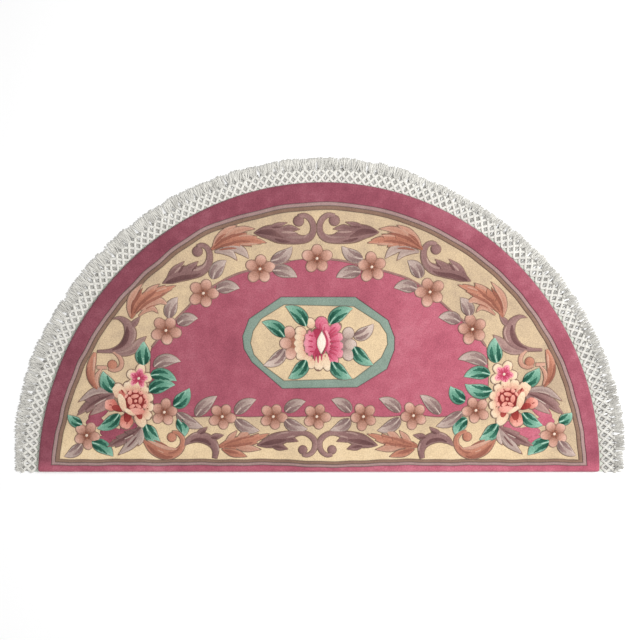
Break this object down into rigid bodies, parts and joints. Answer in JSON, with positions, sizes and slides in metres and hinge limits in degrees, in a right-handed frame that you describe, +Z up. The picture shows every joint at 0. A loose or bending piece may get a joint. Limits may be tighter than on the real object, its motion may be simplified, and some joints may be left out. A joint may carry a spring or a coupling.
{
  "type": "half-moon rug",
  "caption": "Half-moon carved wool floor rug with a flat back and a knotted cotton fringe round its arc.",
  "frame": {"origin": "middle of the bounding box of the whole rug, fringe included, on the surface it lies on", "axes": "+X along the straight edge, +Y from the straight edge towards the crown of the arc, +Z up out of the pile"},
  "size_m": [1.4976, 0.7692, 0.014],
  "materials": {
    "wool_pile": "matte cut wool pile, carved round the design",
    "fringe_cotton": "matte twisted cotton yarn"
  },
  "bodies": {
    "root": {"rug_pile": "wool_pile", "fringe": "fringe_cotton"}
  },
  "joints": []
}
